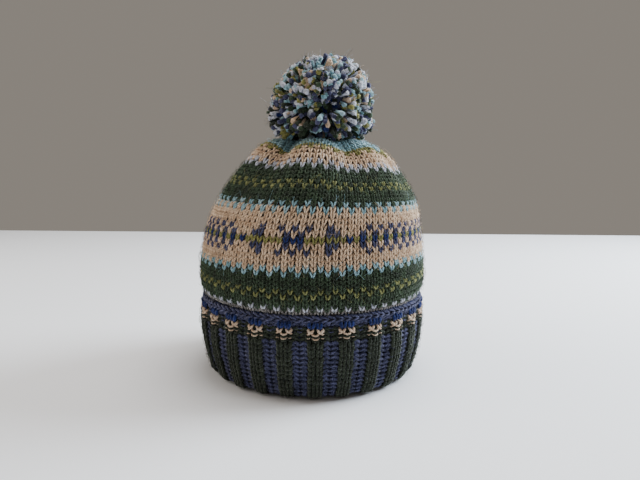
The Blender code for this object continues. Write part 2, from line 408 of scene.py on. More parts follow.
def laid(form, small, placed, seed):
    """Copies of a small form laid on a surface, a little unevenly, as hand knitting is."""
    spots = np.array([(p.angle, p.along, p.width, p.rise) for p in placed])
    angle, along, width, rise = (spots[:, i, None] for i in range(4))
    across, up, out = (small[0][:, i][None] for i in range(3))
    dice = np.random.default_rng(seed)

    def uneven(middle, spread):
        return dice.normal(middle, spread, (len(placed), 1))

    across = across * uneven(1.0, SIZE_SPREAD) + up * uneven(0.0, SIZE_SPREAD)
    up = up * uneven(1.0, SIZE_SPREAD)
    return form.at(
        angle + (across + uneven(0.0, ROUND_SPREAD)) * width / form.read(along, form.tracks[0]),
        along + (up + uneven(0.0, ALONG_SPREAD)) * rise / NOMINAL_RISE,
        (out * uneven(1.0, FULL_SPREAD) + uneven(0.0, ROUND_SPREAD)) * width,
    )


def stitch_piece(name, form, small, placed, seed):
    """A piece of many stitches, each in its own yarn."""
    yarns = sorted(set(p.yarn for p in placed))
    tints = np.array([yarns.index(p.yarn) for p in placed])
    points = laid(form, small, placed, seed)
    piece = copied_form(name, points, small[1], small[2], [YARNS[y] for y in yarns], tints)
    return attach(piece, "root")


RIB_COLUMN = 2 * math.pi / RIB_STITCHES
fold_along = rib_form.along[np.argmin(rib_form.tracks[1])]
rib_rows = np.arange(rib_form.length - RIB_ROW / 2, RIB_ROW / 2, -RIB_ROW)
YARNS["navy"] = wool("navy_wool", "131D47", "20316E")


def across_rib(rib, columns):
    """The angle this many columns from the middle of a plain rib."""
    return RIB_FIRST + (rib * 4 + columns) * RIB_COLUMN


def rib_width(along):
    return rib_form.read(along, rib_form.tracks[0]) * RIB_COLUMN


def plain_rows(rows):
    placed = []
    for along in rows:
        yarn = "navy" if along == rib_rows[0] else "rib green"
        rise = RIB_ROW * NAVY_RISE if yarn == "navy" else RIB_ROW
        for rib in range(RIB_COUNT):
            for columns in (-PLAIN_OFF, PLAIN_OFF):
                angle = across_rib(rib, columns)
                placed.append(Placed(angle, along, rib_width(along), rise, yarn))
    return placed


def purl_rows(rows):
    placed = []
    for along in rows:
        yarn = "rib green" if along in rib_rows[1:CHECK_ROWS] else "denim"
        for rib in range(RIB_COUNT):
            placed.append(Placed(across_rib(rib, 2), along, rib_width(along), RIB_ROW, yarn))
    return placed


def rib_stitches():
    hidden = rib_rows <= fold_along - RIB_ROW * 2
    outer, inner = rib_rows[~hidden], rib_rows[hidden]
    plain = plain_rows([outer[0], *outer[CHECK_ROWS:]])
    purl = purl_rows(outer)
    stitch_piece("rib_plain_stitches", rib_form, pair(RIB_LEG), plain, seed=3)
    purl_form = joined([strand(PURL_WAVE), pair(PURL_FOOT)])
    stitch_piece("rib_purl_stitches", rib_form, purl_form, purl, seed=4)
    inside = pair(RIB_LEG[::2], INSIDE_SIDES)
    stitch_piece("rib_plain_inside", rib_form, inside, plain_rows(inner), seed=7)
    inside = strand(PURL_WAVE[::2], INSIDE_SIDES)
    stitch_piece("rib_purl_inside", rib_form, inside, purl_rows(inner), seed=8)
    return plain + purl


rib_placed = rib_stitches()

# The chequered start
# Under the cast-on edge each plain rib has two cream stitches, whose loops turn over below them as
# a purl arc, and a second, thinner arc shows in the green under it.
YARNS["cream"] = wool("cream_wool", "B99C82", "E0C9B2")
CREAM_OUTER_LEG = (
    Bend(0.96, 0.42, -0.14, 0.07, 0.08),
    Bend(0.90, 0.18, 0.12, 0.14, 0.14),
    Bend(0.78, -0.10, 0.20, 0.19, 0.18),
    Bend(0.66, -0.36, 0.16, 0.16, 0.15),
    Bend(0.58, -0.54, -0.02, 0.10, 0.10),
)
CREAM_INNER_LEG = (
    Bend(0.22, 0.38, -0.10, 0.07, 0.08),
    Bend(0.28, 0.16, 0.13, 0.14, 0.14),
    Bend(0.41, -0.08, 0.20, 0.18, 0.18),
    Bend(0.52, -0.34, 0.16, 0.16, 0.15),
    Bend(0.58, -0.52, -0.02, 0.10, 0.10),
)
CREAM_SIDE_ARC = (
    Bend(0.50, -0.36, 0.08, 0.12, 0.12),
    Bend(0.72, -0.44, 0.19, 0.15, 0.14),
    Bend(0.92, -0.60, 0.17, 0.13, 0.12),
    Bend(1.06, -0.78, -0.06, 0.07, 0.07),
)
CREAM_ARC = (
    Bend(-0.50, -0.34, 0.04, 0.12, 0.12),
    Bend(-0.30, -0.62, 0.20, 0.17, 0.16),
    Bend(0.00, -0.76, 0.27, 0.18, 0.18),
    Bend(0.30, -0.62, 0.20, 0.17, 0.16),
    Bend(0.50, -0.34, 0.04, 0.12, 0.12),
)
THIN_ARC = (
    Bend(-0.48, 0.12, -0.06, 0.08, 0.08),
    Bend(-0.28, -0.04, 0.20, 0.12, 0.12),
    Bend(0.00, -0.11, 0.28, 0.13, 0.13),
    Bend(0.28, -0.04, 0.20, 0.12, 0.12),
    Bend(0.48, 0.12, -0.06, 0.08, 0.08),
)
THIN_SIDE = (
    Bend(0.70, 0.02, -0.02, 0.07, 0.07),
    Bend(0.88, 0.06, 0.24, 0.11, 0.11),
    Bend(1.08, 0.16, 0.02, 0.07, 0.07),
)
ARC_SPACING = 0.92  # from a thin arc to the part of one on each side of it, in stitch widths


def chequered_start():
    legs = joined([pair(CREAM_OUTER_LEG), pair(CREAM_INNER_LEG)])
    cream = joined([legs, pair(CREAM_SIDE_ARC), strand(CREAM_ARC)])
    thin = joined([strand(THIN_ARC), pair(THIN_SIDE)])
    beside = [b._replace(across=b.across + ARC_SPACING) for b in THIN_ARC[1:4]]
    green = joined([strand(THIN_ARC), pair(beside)])
    stitches, arcs, lines, hints = [], [], [], []
    for rib in range(RIB_COUNT):
        middle, side = across_rib(rib, 0), across_rib(rib, 2)
        # rows is how far each lies below the navy row.
        for placed, angle, rows, yarn in (
            (stitches, middle, 1.22, "cream"),
            (arcs, middle, 2.80, "cream"),
            (lines, middle, 2.40, "rib green"),
            (lines, middle, 3.22, "rib green"),
            (hints, side, 0.62, "denim"),
            (hints, side, 1.50, "denim"),
        ):
            along = rib_rows[0] - rows * RIB_ROW
            placed.append(Placed(angle, along, rib_width(along), RIB_ROW, yarn))
    stitch_piece("cream_stitches", rib_form, cream, stitches, seed=9)
    stitch_piece("cream_lower_arcs", rib_form, thin, arcs, seed=10)
    stitch_piece("green_arcs", rib_form, green, lines, seed=11)
    stitch_piece("denim_arcs", rib_form, strand(THIN_ARC), hints, seed=12)


chequered_start()

# The cast-on edge
# The rib was cast on in denim blue, and the edge rolls over the top of the turned-up layer. Its
# outer face is a chain of sideways loops, and short strands run from that over the roll, navy where
# the plain ribs start.
edge_low, edge_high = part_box("cuff_edge")
EDGE_RADIUS = (edge_high.x - edge_low.x) / 2
EDGE_WIDTH = 0.0044
EDGE_HEIGHT = edge_high.z - edge_low.z
EDGE_ARC = 16  # points in its round section
EDGE_STEPS = 120
EDGE_INSET_ACROSS = 0.0004  # from the solid's sides in to the strands' form
EDGE_INSET_UP = 0.00128
EDGE_SAG = 0.0017
EDGE_CORE_UNDER = 0.0007
EDGE_TURN = -0.9 * math.pi  # where the section starts, on the roll's inner side

# Where the rows lie along the section, from the middle of the edge's outer face up, and how high
# each is.
CHAIN_LOW = -0.0006
CHAIN_HIGH = 0.0014
CHAIN_RISE = 0.0032
OVER_ROWS = (-0.0022, 0.0030, 0.0043)
OVER_RISE = 0.0021
OVER_STEP = 0.25  # how far each row over the roll is shifted round, in stitches
NAVY_STRANDS = (0, 1, 7)  # of the eight from the middle of a plain rib to the next


def no_relief(angle):
    return np.zeros_like(angle)


def edge_sections():
    """Round the roll, from its inner side down, out and up, and back to where it starts."""
    middle = EDGE_RADIUS - EDGE_WIDTH / 2
    height = edge_low.z + EDGE_HEIGHT / 2 - EDGE_SAG
    for turn in np.linspace(EDGE_TURN, EDGE_TURN + 2 * math.pi, EDGE_ARC + 1):
        across = math.cos(turn) * (EDGE_WIDTH / 2 - EDGE_INSET_ACROSS)
        up = math.sin(turn) * (EDGE_HEIGHT / 2 - EDGE_INSET_UP)
        yield middle + across, height + up, 0.0, 0.0, 0.0


edge_form = Form(list(edge_sections()), no_relief, softness=0.0004)
edge_face = edge_form.length * 0.45  # the middle of the outer face, along the section


def edge_core():
    angle = np.arange(EDGE_STEPS) * 2 * math.pi / EDGE_STEPS
    along = np.linspace(0.0, edge_form.length, EDGE_ARC, endpoint=False)
    points = edge_form.at(angle[None, :], along[:, None], -EDGE_CORE_UNDER)
    piece = cloth_wall("edge_core", points, [YARNS["denim"]], np.zeros(len(along) * EDGE_STEPS))
    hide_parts("cuff_edge")
    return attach(piece, "root")


edge_core()

CHAIN_LOOP = (
    Bend(-0.80, -0.30, -0.10, 0.08, 0.08),
    Bend(-0.42, -0.14, 0.09, 0.14, 0.13),
    Bend(0.00, 0.00, 0.13, 0.155, 0.15),
    Bend(0.42, 0.14, 0.09, 0.14, 0.13),
    Bend(0.80, 0.30, -0.10, 0.08, 0.08),
)
OVER_ROLL = (
    Bend(0.16, -0.58, -0.04, 0.11, 0.10),
    Bend(0.04, -0.20, 0.09, 0.17, 0.15),
    Bend(-0.08, 0.22, 0.10, 0.18, 0.15),
    Bend(-0.18, 0.60, -0.06, 0.12, 0.10),
)


def edge_stitches():
    width = EDGE_RADIUS * RIB_COLUMN
    for name, lift, path, seed in (
        ("edge_chain_lower", CHAIN_LOW, CHAIN_LOOP, 5),
        ("edge_chain_upper", CHAIN_HIGH, flipped(CHAIN_LOOP), 6),
    ):
        placed = [
            Placed(across_rib(0, i), edge_face + lift, width, CHAIN_RISE, "denim")
            for i in range(RIB_STITCHES)
        ]
        stitch_piece(name, edge_form, strand(path), placed, seed)
    placed = []
    for i in range(RIB_STITCHES * 2):
        for row, along in enumerate(OVER_ROWS):
            last = row == len(OVER_ROWS) - 1
            yarn = "navy" if i % 8 in NAVY_STRANDS and not last else "denim"
            angle = across_rib(0, i / 2 + OVER_STEP * row)
            placed.append(Placed(angle, edge_face + along, width, OVER_RISE, yarn))
    stitch_piece("edge_roll", edge_form, strand(OVER_ROLL), placed, seed=13)


edge_stitches()

# The fabric of the crown
# The crown is knitted in the round from the rib up, in stocking stitch, with the yarn that isn't
# in use stranded behind. It narrows in seven wedges to the gathered top, and leans a little. This is
# the cloth under its stitches, whose back shows when the hat is looked into. Its front, between the
# stitches, is green under rows with green and the row's own yarn under rows of one other colour, and
# under rows with beige it is a dark brown that is painted shade.
crown_low, crown_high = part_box("crown")
CROWN_FOOT = crown_low.z
CROWN_HEIGHT = crown_high.z - crown_low.z
CROWN_RADIUS = (crown_high.x - crown_low.x) / 2
CROWN_SHIFT = 0.0064  # how far the top leans to +X
CROWN_DROP = 0.0036  # how far it sags there, and is lifted on the other side
PLEAT_DEPTH = 0.0072
CROWN_CLOTH = WALL * 0.6
CROWN_CLOTH_ROW = 0.0024
PURL_BUMP = 0.0009  # on the crown's inner side

# From the foot up. radius is a share of CROWN_RADIUS, height of CROWN_HEIGHT, shift of CROWN_SHIFT,
# drop of CROWN_DROP and depth of PLEAT_DEPTH.
CROWN_SECTIONS = (
    Section(0.943, 0.000, 0.00, 0.00, 0.00),
    Section(0.957, 0.039, 0.00, 0.00, 0.00),
    Section(0.984, 0.064, 0.00, 0.00, 0.00),
    Section(1.004, 0.100, 0.00, 0.00, 0.00),
    Section(1.008, 0.154, 0.00, 0.00, 0.00),
    Section(0.997, 0.244, 0.00, 0.08, 0.00),
    Section(0.981, 0.338, 0.03, 0.16, 0.00),
    Section(0.961, 0.435, 0.12, 0.26, 0.02),
    Section(0.929, 0.525, 0.34, 0.50, 0.08),
    Section(0.886, 0.610, 0.60, 0.76, 0.18),
    Section(0.842, 0.684, 0.76, 0.90, 0.34),
    Section(0.785, 0.754, 0.88, 1.00, 0.54),
    Section(0.701, 0.833, 0.98, 1.00, 0.72),
    Section(0.635, 0.896, 1.00, 0.90, 0.86),
    Section(0.565, 0.938, 1.00, 0.70, 1.00),
    Section(0.478, 0.968, 0.92, 0.40, 1.00),
    Section(0.388, 0.984, 0.82, 0.00, 0.60),
    Section(0.270, 0.972, 0.82, 0.00, 0.20),
    Section(0.150, 0.940, 0.82, 0.00, 0.00),
    Section(0.040, 0.920, 0.82, 0.00, 0.00),
)
WEDGES = 7
WEDGE_COLUMNS = 16  # in the body, so it is 112 stitches round
COLUMN = 2 * math.pi / (WEDGES * WEDGE_COLUMNS)
FLOWER = math.radians(-8.6)  # the middle of the flower nearest to the front
FLOWER_STITCH = 7  # that flower's middle, counted from the decrease line left of it
WEDGE_FIRST = FLOWER - (FLOWER_STITCH + 0.5) * COLUMN

# off is how far a pleat is from its decrease line and width how wide it is, both in degrees, and
# depth is a share of the section's depth.
Pleat = namedtuple("Pleat", "wedge off depth width")
PLEATS = (
    Pleat(0, -3, 1.10, 12.0),
    Pleat(1, 3, 0.66, 13.0),
    Pleat(2, 0, 0.72, 13.0),
    Pleat(3, 0, 0.90, 14.0),
    Pleat(4, 0, 0.76, 12.0),
    Pleat(5, 0, 0.88, 13.0),
    Pleat(6, 0, 0.80, 14.0),
)


def crown_relief(angle):
    """How far the gathers are sunk: most along the decrease lines between the wedges."""
    sunk = np.zeros_like(angle)
    for pleat in PLEATS:
        line = WEDGE_FIRST + pleat.wedge * 2 * math.pi / WEDGES
        away = np.degrees(angle - line) - pleat.off
        away = (away + 180) % 360 - 180
        sunk = sunk + pleat.depth * np.exp(-((away / pleat.width) ** 2))
    return sunk


crown_form = Form(
    [
        (
            s.radius * CROWN_RADIUS,
            CROWN_FOOT + s.height * CROWN_HEIGHT,
            s.shift * CROWN_SHIFT,
            s.drop * CROWN_DROP,
            s.depth * PLEAT_DEPTH,
        )
        for s in CROWN_SECTIONS
    ],
    crown_relief,
    softness=0.0022,
)

YARNS["heather"] = wool("grey_heather_wool", "7C7876", "A8A3A0")
YARNS["white"] = wool("lavender_white_wool", "AEB1C2", "D6D8E2")
YARNS["green"] = wool("forest_green_wool", "252B21", "445740")
YARNS["olive"] = wool("olive_wool", "6B693D", "989556")
YARNS["moss"] = wool("moss_wool", "696B40", "9DA066")
YARNS["sky"] = wool("sky_blue_wool", "76A1AD", "A9C8D2")
# A dark brown that shows between the stitches of the rows with beige: painted shade in the gaps.
YARNS["carried"] = wool("carried_wool", "3A2C24", "564236")
YARNS["beige"] = wool("peach_beige_wool", "C0A082", "EDD1B4")
CHART_YARNS = {
    "h": "heather",
    "w": "white",
    "g": "green",
    "o": "olive",
    "m": "moss",
    "s": "sky",
    "b": "beige",
    "d": "denim",
    "n": "navy",
}

# The chart, from the rib up. colours repeats round the row, and starts at the flower's middle, or
# FLOWER_REACH stitches before it in the flower band. pitch is how far the row lies over the last
# one, in millimetres, and wedge how many stitches it has from one decrease line to the next.
Row = namedtuple("Row", "colours pitch wedge")
FLOWER_TIP = "bbbbdbbdbdbdbbdbbbb" + "bd" * 18 + "b"
FLOWER_SIDE = "bbbddbbbdbdbbbddbbb" + "db" * 18 + "d"
FLOWER_HEART = "onoooooonnnoooooono" + "no" * 18 + "n"
FLOWER_REACH = 9
CHART = (
    Row("h", 5.2, 16),
    Row("wg", 2.8, 16),
    Row("g", 2.86, 16),
    Row("g", 3.1, 16),
    Row("gm", 3.1, 16),
    Row("mg", 2.8, 16),
    Row("g", 2.35, 16),
    Row("g", 2.35, 16),
    Row("g", 2.35, 16),
    Row("gs", 2.45, 16),
    Row("sb", 2.9, 16),
    Row("b", 3.0, 16),
    Row("b", 3.0, 16),
    Row(FLOWER_TIP, 3.2, 16),
    Row(FLOWER_SIDE, 3.45, 16),
    Row(FLOWER_HEART, 3.45, 16),
    Row(FLOWER_SIDE, 3.4, 16),
    Row(FLOWER_TIP, 3.4, 16),
    Row("b", 3.45, 16),
    Row("b", 3.45, 16),
    Row("sb", 3.5, 16),
    Row("gs", 3.7, 16),
    Row("g", 2.65, 16),
    Row("g", 2.65, 16),
    Row("g", 2.65, 16),
    Row("mg", 2.65, 16),
    Row("gm", 3.1, 16),
    Row("g", 2.8, 14),
    Row("g", 2.8, 14),
    Row("g", 2.8, 14),
    Row("wg", 2.8, 14),
    Row("bw", 3.3, 14),
    Row("b", 3.8, 12),
    Row("b", 4.2, 12),
    Row("bo", 3.3, 10),
    Row("o", 3.1, 10),
    Row("s", 3.0, 9),
    Row("s", 3.4, 8),
    Row("s", 3.4, 7),
    Row("s", 3.4, 6),
    Row("s", 3.4, 5),
    Row("s", 3.4, 4),
)
row_along = np.cumsum([row.pitch for row in CHART]) / 1000

# How far a row is pulled up on its +X side and down on the other, and down in front and behind
# and up at the sides, at these distances from the crown's foot, all in millimetres.
PULL_ALONG = (0, 8, 16, 30, 80, 105, 125)
SLANT = (-0.8, -0.8, 0.7, 1.5, 1.9, 0.8, 0.0)
BOW = (0.0, 0.4, 1.6, 0.6, 0.2, 0.0, 0.0)
row_rise = np.diff(row_along, append=row_along[-1] + CHART[-1].pitch / 1000)


def gap_colour(colours):
    """The colour between a row's stitches; under rows with beige it is painted shade."""
    if "g" in colours:
        return "green"
    return "carried" if "b" in colours or len(set(colours)) > 1 else CHART_YARNS[colours]


def crown_cloth():
    steps = WEDGES * WEDGE_COLUMNS
    angle = WEDGE_FIRST + np.arange(steps) * 2 * math.pi / steps
    along = np.arange(0.0, crown_form.length, CROWN_CLOTH_ROW)
    front = crown_form.at(angle[None, :], along[:, None], -UNDER_STITCHES)
    bumps = PURL_BUMP * ((np.arange(steps)[None, :] + np.arange(len(along))[:, None]) % 2)
    under = -UNDER_STITCHES - CROWN_CLOTH - bumps
    points = np.concatenate([front, crown_form.at(angle[None, :], along[::-1, None], under)])
    yarns = sorted(set(CHART_YARNS.values())) + ["carried"]
    nearest = np.abs(along[:, None] - row_along[None, :]).argmin(1)
    rows = [yarns.index(CHART_YARNS[CHART[i].colours[0]]) for i in nearest]
    # The cloth's front between the stitches: dark brown under rows with beige, which is painted
    # shade.
    gap_tints = [yarns.index(gap_colour(CHART[i].colours)) for i in nearest]
    tints = np.repeat(gap_tints + rows[::-1], steps)
    piece = cloth_wall("crown_cloth", points, [YARNS[y] for y in yarns], tints)
    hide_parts("crown")
    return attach(piece, "root")


crown_cloth()

# The crown's stitches
# Every stitch is there, in the yarn that the chart gives it: a V, whose foot lies over the tops of
# the one below. They are joined in three pieces: the green body over the rib, the peach band with
# its flowers, and the narrowing top.
LEG = (
    Bend(0.085, -0.76, -0.12, 0.060, 0.07),
    Bend(0.125, -0.42, 0.13, 0.120, 0.14),
    Bend(0.220, -0.06, 0.23, 0.158, 0.18),
    Bend(0.335, 0.29, 0.12, 0.145, 0.16),
    Bend(0.425, 0.60, -0.20, 0.080, 0.09),
)
TIGHT = 0.90  # the moss stitches are drawn in by the long strands behind them
CROWN_PIECES = (
    ("crown_stitches_body", 0, 12),
    ("crown_stitches_flowers", 12, 24),
    ("crown_stitches_top", 24, len(CHART)),
)


def chart_row(number):
    """The stitches of one row, from the decrease line left of the front and round."""
    row = CHART[number]
    count = row.wedge * WEDGES
    width = 2 * math.pi / count
    along = row_along[number]
    radius = crown_form.read(along, crown_form.tracks[0])
    slant, bow = (np.interp(along * 1000, PULL_ALONG, pull) / 1000 for pull in (SLANT, BOW))
    start = FLOWER_REACH if len(row.colours) > 2 else 0
    placed = []
    for i in range(count):
        yarn = CHART_YARNS[row.colours[(i - FLOWER_STITCH + start) % len(row.colours)]]
        angle = WEDGE_FIRST + (i + 0.5) * width
        pulled = along + slant * math.sin(angle) - bow * math.cos(2 * angle)
        size = TIGHT if yarn == "moss" else 1.0
        placed.append(Placed(angle, pulled, radius * width * size, row_rise[number] * size, yarn))
    return placed


def crown_stitches():
    knitted = []
    for seed, (name, first, last) in enumerate(CROWN_PIECES, start=20):
        placed = [stitch for number in range(first, last) for stitch in chart_row(number)]
        stitch_piece(name, crown_form, pair(LEG), placed, seed)
        knitted += placed
    return knitted


crown_placed = crown_stitches()

# The fuzz
# Wool's loose fibres stand out of the stitches all over and lean over them in low arcs, which
# softens the hat's outline. Each is in its stitch's colour.
CROWN_FUZZ = 5900
RIB_FUZZ = 2600
FIBRE_THICKNESS = 0.00006
FIBRE_SIDES = 3
FIBRE_LENGTH = (0.0025, 0.0065)
FIBRE_LIFT = (0.0008, 0.0026)
FIBRE_START = 0.0008  # over the form that the stitches lie on
FIBRE_OFF = 0.4  # from the stitch's middle, in stitch widths
FIBRE_ARC = ((0.0, 0.0), (0.4, 0.8), (1.0, 1.0))  # shares of its length and of its lift


def tubes(paths, thickness, sides, dice):
    """The corners of round strands along paths of (strands, bends, 3)."""
    way = np.gradient(paths, axis=1)
    way /= np.linalg.norm(way, axis=2, keepdims=True)
    side = np.cross(way, dice.normal(0.0, 1.0, (len(paths), 1, 3)))
    side /= np.linalg.norm(side, axis=2, keepdims=True)
    other = np.cross(side, way)
    turn = (np.arange(sides) * 2 * math.pi / sides)[:, None]
    rim = np.cos(turn) * side[:, :, None] + np.sin(turn) * other[:, :, None]
    return (paths[:, :, None] + rim * thickness[:, :, None, None]).reshape(len(paths), -1, 3)


def tube_faces(bends, sides):
    """A round strand's faces, and their places on it."""
    return strand([Bend(0, i, 0, 1, 1) for i in range(bends)], sides)[1:]


def fibres(name, paths, colours, slot, dice):
    """A piece of loose fibres, each along its own path."""
    count, bends = paths.shape[:2]
    thickness = np.full((count, bends), FIBRE_THICKNESS)
    points = tubes(paths, thickness, FIBRE_SIDES, dice)
    yarns = sorted(set(colours))
    tints = np.array([yarns.index(colour) for colour in colours])
    faces, uvs = tube_faces(bends, FIBRE_SIDES)
    piece = copied_form(name, points, faces, uvs, [YARNS[y] for y in yarns], tints)
    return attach(piece, "root")


def fuzz(name, form, placed, count, slot, seed):
    """Loose fibres that stand out of stitches picked at random."""
    dice = np.random.default_rng(seed)
    chosen = [placed[i] for i in dice.integers(0, len(placed), count)]
    angle, along, width = (np.array([getattr(p, key) for p in chosen]) for key in Placed._fields[:3])
    radius = form.read(along, form.tracks[0])
    angle = angle + dice.uniform(-FIBRE_OFF, FIBRE_OFF, count) * width / radius
    heading = dice.uniform(0.0, 2 * math.pi, count)
    length = dice.uniform(*FIBRE_LENGTH, count)
    lift = dice.uniform(*FIBRE_LIFT, count)
    bends = []
    for share, height in FIBRE_ARC:
        turned = angle + share * length * np.cos(heading) / radius
        risen = np.clip(along + share * length * np.sin(heading), 0.0, form.length)
        bends.append(form.at(turned, risen, FIBRE_START + lift * height))
    return fibres(name, np.stack(bends, 1), [p.yarn for p in chosen], slot, dice)


fuzz("crown_fuzz", crown_form, crown_placed, CROWN_FUZZ, "crown_wool", seed=40)
rib_upright = [p for p in rib_placed if p.along > fold_along + 3 * RIB_ROW]
fuzz("rib_fuzz", rib_form, rib_upright, RIB_FUZZ, "rib_wool", seed=41)

# The pompom
# A ball of cut yarn in most of the hat's colours, bound round the middle, trimmed and sewn to the
# gathered top, over whose front it droops in two lobes. Its ends lean together in locks; the core
# is the yarn packed behind them, made only of the hat's darkest yarns so that it shows as shade in
# the gaps between the ends: painted shade.
pompom_low, pompom_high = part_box("pompom")
POMPOM_MIDDLE = np.array((pompom_low + pompom_high) / 2)
POMPOM_HALF = np.array((pompom_high - pompom_low) / 2)
POMPOM_SHIFT = -0.0010
POMPOM_LEAN = 0.0055  # how far the ball's top is to the right of its middle
CORE_OUTSIDE = 0.80  # shares of the way from the ball's middle to its surface
CORE_INSIDE = 0.66
CORE_POLE = 0.04  # a small hole at the core's top and bottom, as an angle
LOCKS = 440
LOCK_ENDS = 7
YARN_ENDS = LOCKS * LOCK_ENDS

# How far locks and the ends in them stray from their even places and sway to the side, and how far
# out they are trimmed, all as shares of the ball's half size.
LOCK_STRAY = 0.02
END_STRAY = 0.050
LOCK_SWAY = 0.115
END_SWAY = 0.055
TRIM = 0.995
TRIM_SPREAD = 0.028
BED_TRIM = 0.93  # where the ball sits on the hat, below BED_EDGE
BED_EDGE = -0.86
LONGEST = 1.02  # an end's reach over the trimmed surface's

# An end's root is a share of the ball's half size, and its bend a share of the way from its root to
# its tip. Its half thickness is given at its root, its bend, its tip and its cut.
END_ROOT = 0.60
END_BEND = 0.55
BEND_SWAY = 0.12
END_THICKNESS = 0.00138
END_TAPER = (0.6, 0.94, 1.22, 0.74)
END_WEIGHTS = (1.08, 0.92, 0.66)
WEIGHT_SHARES = (0.40, 0.34, 0.26)
END_SIDES = 6
CUT = 0.0006  # how far the cut is past the tip
FRAY = 0.00030  # how far the corners of a cut end stray

# Each yarn's share of the ends at the ball's top and at its bottom, and how much of the bottom's
# mix there is half-way up and how fast that grows going down. The top's shares are the ball's mix;
# the bottom's, with more of the dark yarns, darken the ball downwards as painted shade.
MIX_MIDDLE = 0.42
MIX_SLOPE = 0.85
Share = namedtuple("Share", "yarn top bottom")
POMPOM_MIX = (
    Share("white", 0.31, 0.10),
    Share("cream", 0.07, 0.04),
    Share("sky", 0.22, 0.13),
    Share("denim", 0.16, 0.22),
    Share("green", 0.12, 0.19),
    Share("olive", 0.07, 0.12),
    Share("beige", 0.03, 0.02),
    Share("rib green", 0.02, 0.16),
    Share("navy", 0.00, 0.02),
)


def spread_round(count):
    """Evenly spread directions, as seeds lie on a round head."""
    steps = np.arange(count) + 0.5
    height = 1 - 2 * steps / count
    turn = steps * math.pi * (3 - math.sqrt(5))
    across = np.sqrt(1 - height**2)
    return np.stack([across * np.cos(turn), across * np.sin(turn), height], -1)


def pompom_reach(way):
    """How far the ball goes in each direction, as a share of its half sizes.

    It droops over the hat, most at the front, where a parting makes two lobes of it, and it is a
    little lumpy, and flatter at the upper left.
    """
    x, y, z = way[..., 0], way[..., 1], way[..., 2]
    droop = (0.12 + 0.28 * np.clip(-y, 0, 1)) * np.exp(-(((z + 0.68) / 0.30) ** 2))
    parting = 0.20 * np.exp(-(((x + 0.03) / 0.13) ** 2)) * (y < 0) * np.clip(-0.1 - z, 0, 1)
    lumps = 0.025 * np.sin(5 * x + 1) * np.sin(6 * y + 2) * np.sin(5 * z)
    flat = 0.13 * np.clip(-x, 0, 1) * np.clip(z + 0.3, 0, 1)
    return (0.92 + 0.04 * np.clip(z, 0, 1) ** 2 + droop - parting - flat + lumps)[..., None]


def pompom_core():
    steps, rings = 48, 26
    turn = np.arange(steps) * 2 * math.pi / steps
    tilt = np.linspace(math.pi - CORE_POLE, CORE_POLE, rings)[:, None]
    ways = [np.sin(tilt) * np.cos(turn), np.sin(tilt) * np.sin(turn), np.cos(tilt) + 0 * turn]
    ways = np.stack(ways, -1)
    outer = POMPOM_MIDDLE + ways * POMPOM_HALF * pompom_reach(ways) * CORE_OUTSIDE
    inner = POMPOM_MIDDLE + ways[::-1] * POMPOM_HALF * CORE_INSIDE
    points = np.concatenate([outer, inner])
    # Only the darkest yarns, so that the core reads as shade between the ends: painted shade.
    yarns = [YARNS[name] for name in ("denim", "green", "rib green", "navy")]
    tints = np.random.default_rng(30).integers(0, len(yarns), len(points) * steps)
    piece = cloth_wall("pompom_core", points, yarns, tints)
    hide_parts("pompom")
    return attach(piece, "root")


def end_paths(dice):
    """Each end's way out of the ball, and its path from its root to its cut."""
    lock = spread_round(LOCKS) + dice.normal(0.0, LOCK_STRAY, (LOCKS, 3))
    way = np.repeat(lock, LOCK_ENDS, 0) + dice.normal(0.0, END_STRAY, (YARN_ENDS, 3))
    way /= np.linalg.norm(way, axis=1, keepdims=True)
    lock_sway = dice.normal(0.0, LOCK_SWAY, (LOCKS, 3))
    sway = np.repeat(lock_sway, LOCK_ENDS, 0) + dice.normal(0.0, END_SWAY, (YARN_ENDS, 3))
    reach = pompom_reach(way) * dice.normal(TRIM, TRIM_SPREAD, (YARN_ENDS, 1))
    bed = way[:, 2:] < BED_EDGE
    reach = np.where(bed, np.minimum(reach, BED_TRIM), reach)
    lean = np.zeros((YARN_ENDS, 3))
    lean[:, 0] = POMPOM_LEAN * np.clip(way[:, 2], 0, 1) ** 2 + POMPOM_SHIFT
    root = POMPOM_MIDDLE + way * POMPOM_HALF * END_ROOT
    tip = POMPOM_MIDDLE + lean + (way * reach + sway) * POMPOM_HALF
    out = (tip - POMPOM_MIDDLE) / POMPOM_HALF
    size = np.linalg.norm(out, axis=1, keepdims=True)
    tip = POMPOM_MIDDLE + out * np.minimum(1.0, LONGEST * reach / size) * POMPOM_HALF
    bend = root * (1 - END_BEND) + tip * END_BEND + sway * POMPOM_HALF * BEND_SWAY
    cut = tip + (tip - bend) * CUT / np.linalg.norm(tip - bend, axis=1, keepdims=True)
    return way, np.stack([root, bend, tip, cut], 1)


def end_colours(way, dice):
    """Each end's place in POMPOM_MIX, picked by how high it is: darker lower down, as painted shade.
    """
    low = np.clip(MIX_MIDDLE - MIX_SLOPE * way[:, 2:], 0, 1)
    shares = [(1 - low) * share.top + low * share.bottom for share in POMPOM_MIX]
    reached = np.cumsum(np.hstack(shares), axis=1)
    return (dice.random((YARN_ENDS, 1)) > reached).sum(1).clip(max=len(POMPOM_MIX) - 1)


